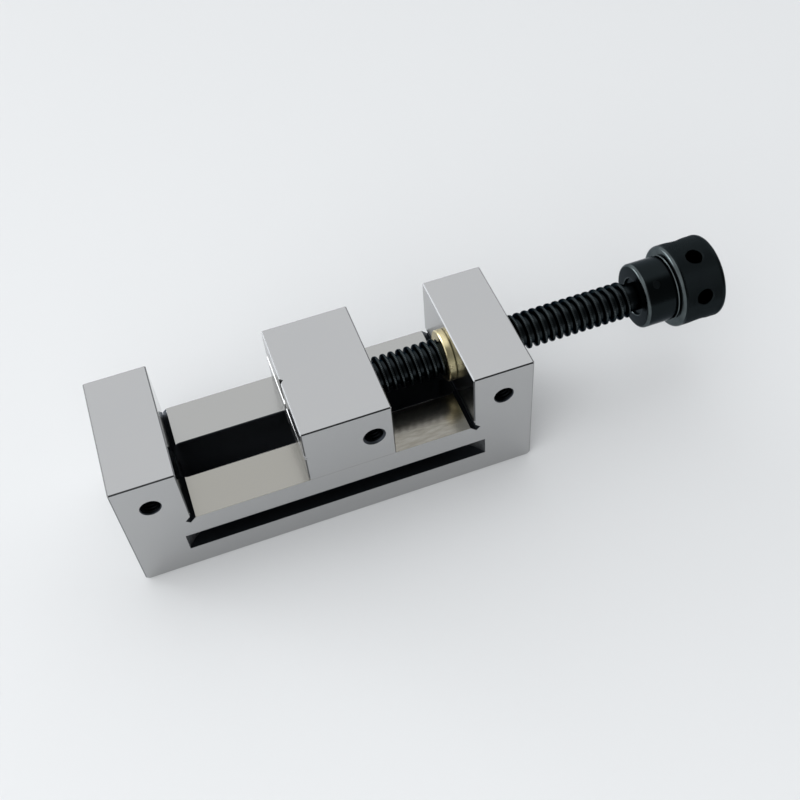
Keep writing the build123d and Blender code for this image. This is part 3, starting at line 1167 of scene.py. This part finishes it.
@dataclass
class Castings:
    """The CAD pieces that keep their shape and only get their finish."""

    bed_height: float = 27.0 * MM
    jaw_face: float = 51.0 * MM
    half_length: float = 73.0 * MM
    top: float = 52.0 * MM
    edge_break: float = 0.4 * MM
    uprights_from: float = 30.0 * MM
    relief_reach: float = 2.3 * MM
    skin: float = 0.04 * MM
    slot_height: float = 14.0 * MM
    # Where the painted shade on the front rail by the nut block starts and where it is full.
    rail_shade_start: float = 6.0 * MM
    rail_shade_full: float = 23.0 * MM

    def body_regions(self) -> Regions:
        """Where the body stays black."""
        inner, reach, slot_half = HALF_WIDTH - self.skin, self.relief_reach, 4.1 * MM
        slot_low, slot_high = self.slot_height - slot_half, self.slot_height + slot_half
        below = self.bed_height - self.skin
        relief = (
            lambda x, y, z: (abs(abs(x) - self.jaw_face) < reach)
            * (abs(z - self.bed_height) < reach)
            * (abs(y) < inner)
            * (abs(z - self.bed_height) > self.skin)
            * (abs(abs(x) - self.jaw_face) > self.skin)
        )
        return (
            block(0.0, x_half=55.2 * MM, y_half=inner, z_low=slot_low, z_high=slot_high),
            block(0.0, x_half=51.1 * MM, y_half=13.2 * MM, z_low=self.skin, z_high=below),
            relief,
            cross_hole(-BODY_HOLE_X, radius=3.75 * MM, y_half=inner),
            cross_hole(BODY_HOLE_X, radius=3.75 * MM, y_half=inner),
            long_hole(BODY_HOLE_X, x_half=10.9 * MM, radius=8.8 * MM),
        )

    def slot_ends(self) -> Region:
        """Where the disc cutter ran out of the clamp slots and left a rough grey wall."""
        start, y_mid, z_half = 42.5 * MM, 21.0 * MM, 3.95 * MM
        y_half = HALF_WIDTH - self.skin - y_mid
        return (
            lambda x, y, z: (abs(x) > start)
            * (abs(abs(y) - y_mid) < y_half)
            * (abs(z - self.slot_height) < z_half)
        )

    def bed(self) -> Region:
        """The rails' tops, painted darker than the jaws: partly a duller grind, partly painted
        shade between the jaws.
        """
        low, high = self.bed_height - 5 * self.skin, self.bed_height + self.skin
        return block(0.0, self.jaw_face, BEYOND, low, high)

    def edge_breaks(self, low: float, high: float, bottom: float) -> Regions:
        """The edge breaks of one block, darker than the ground faces: partly their own duller
        finish, partly painted dark reflection.

        Args:
            low: Its low end in X.
            high: Its high end in X.
            bottom: The height from which its upright edges are free.

        Returns:
            Regions of the long top edges, the cross top edges and the upright edges.
        """
        middle, half = (low + high) / 2, (high - low) / 2
        skin, top, limit = self.skin, self.top, -self.edge_break - self.skin / 2

        def past_end(x: Wire) -> Wire:
            """How far a place lies past the nearer end."""
            return abs(x - middle) - half

        def past_side(y: Wire) -> Wire:
            """How far a place lies past the nearer side."""
            return abs(y) - HALF_WIDTH

        return (
            (lambda x, y, z: (past_side(y) + z - top > limit) * (past_end(x) < skin)),
            (
                lambda x, y, z: (past_end(x) + z - top > limit)
                * (past_end(x) < skin)
                * (z > top - 2 * MM)
            ),
            (
                lambda x, y, z: (past_end(x) + past_side(y) > limit)
                * (past_end(x) < skin)
                * (z > bottom)
            ),
        )

    def corners(self) -> Region:
        """The edge breaks of the body's four outer corners, from the foot to the top."""
        reach = self.half_length + HALF_WIDTH - self.edge_break - self.skin / 2
        return lambda x, y, z: (abs(x) + abs(y) > reach) * (z < self.top)

    def mirror(self) -> Region:
        """The fixed jaw's clamping face, which is ground finest."""
        return block(-self.jaw_face, 2 * self.skin, BEYOND, self.bed_height, 2 * self.bed_height)

    def nut_face_shade(self) -> Region:
        """The nut block's jaw side in front of the screw, painted dark as shade and dark reflection
        of the screw and slot.
        """
        y_mid, y_half = -13.0 * MM, 11.5 * MM
        return (
            lambda x, y, z: (abs(x - self.jaw_face) < 2 * self.skin)
            * (abs(y - y_mid) < y_half)
            * (z > self.bed_height)
        )

    def rail_shade_by_nut(self) -> Region:
        """The front rail beside the nut block, painted with streaks of shade that darken towards
        the nut block.
        """
        return (
            lambda x, y, z: x.shader.ramp(x, self.rail_shade_start, self.rail_shade_full)
            * (x < self.jaw_face)
            * (y < 0.0)
            * (abs(z - self.bed_height) < self.skin)
        )

    def jaw_regions(self) -> Regions:
        """Where the jaw stays black."""
        inner, below = HALF_WIDTH - self.skin, self.bed_height - self.skin
        return (
            block(6.0 * MM, x_half=20.0 * MM, y_half=8.0 * MM, z_low=0.0, z_high=below),
            cross_hole(JAW_HOLE_X, radius=4.2 * MM, y_half=inner),
            long_hole(13.0 * MM, x_half=8.9 * MM, radius=5.2 * MM),
        )

    def build(self, oxide: Material, polished: Material) -> None:
        """Dress every CAD piece that stays.

        Args:
            oxide: Finish of the fasteners and the keeper plate.
            polished: Finish of the thrust ball.
        """
        body = GroundSteel(
            self.body_regions(),
            milled=(self.slot_ends(),),
            bed=(self.bed(),),
            dull_and_shaded=(self.nut_face_shade(),),
            nut_shaded=(self.rail_shade_by_nut(),),
            bright=(self.mirror(),),
            edges=(
                self.corners(),
                *self.edge_breaks(-self.half_length, -self.jaw_face, self.uprights_from),
                *self.edge_breaks(self.jaw_face, self.half_length, self.uprights_from),
            ),
        )
        jaw_low, jaw_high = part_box("movable_jaw")
        jaw = GroundSteel(
            self.jaw_regions(), edges=self.edge_breaks(jaw_low.x, jaw_high.x, self.bed_height + MM)
        )
        finishes = {
            "vise_body": body.build("ground_body"),
            "movable_jaw": jaw.build("ground_jaw"),
            "thrust_ball": polished,
        }
        for name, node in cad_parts.items():
            material = finishes.get(name, oxide)
            node.material_slots[0].material = material
            LOG.info("%s: dressed with %s", name, material.name)


def worn_edges() -> Regions:
    """The knob's edges that hands rubbed bright: hub, step, head and recess."""
    return (
        ring(x_mid=123.9 * MM, x_half=0.75 * MM, radius=11.35 * MM),
        ring(x_mid=135.6 * MM, x_half=0.25 * MM, radius=11.9 * MM),
        ring(x_mid=136.2 * MM, x_half=0.7 * MM, radius=14.2 * MM),
        ring(x_mid=123.5 * MM, x_half=0.3 * MM, radius=7.05 * MM, outer=7.3 * MM),
    )


def main() -> None:
    """Build the vise's looks, class by class."""
    logging.basicConfig(level=logging.INFO, format="%(name)s %(message)s")
    oxide = BlackOxide().build("black_oxide")
    thread_edge: Colour = (0.34, 0.36, 0.38)
    crests = (ring(x_mid=70.0 * MM, x_half=60.0 * MM, radius=6.88 * MM),)
    screw_black = BlackOxide(rubbed=crests, roughness=0.24, edge_tone=thread_edge)
    screw_finish = screw_black.build("black_screw")
    knob_black = BlackOxide(
        tone=(0.010, 0.0135, 0.0145),
        worn_tone=(0.013, 0.0165, 0.018),
        rubbed=worn_edges(),
        roughness=0.22,
        variation=0.04,
    )
    knob_finish = knob_black.build("black_knob")
    brass = TurnedMetal((0.80, 0.70, 0.42), (0.66, 0.57, 0.34), 0.24).build("turned_brass")
    ball = TurnedMetal((0.70, 0.70, 0.71), (0.66, 0.66, 0.67), 0.08).build("ball_steel")
    Castings().build(oxide, ball)
    screw = LeadScrew()
    screw.build(screw_finish)
    ScrewNut(screw.form).build(brass)
    Knob().build(knob_finish, oxide)
    holes = {
        "stop_hole": (-BODY_HOLE_X, Body.BASE),
        "nut_hole": (BODY_HOLE_X, Body.BASE),
        "jaw_hole": (JAW_HOLE_X, Body.JAW),
    }
    hole_black = BlackOxide((0.006, 0.007, 0.008), (0.008, 0.009, 0.010), edge_tone=thread_edge)
    TappedHoles().build(holes, hole_black.build("black_hole_wall"))
    Studio().build()


if __name__ == "__main__":
    main()
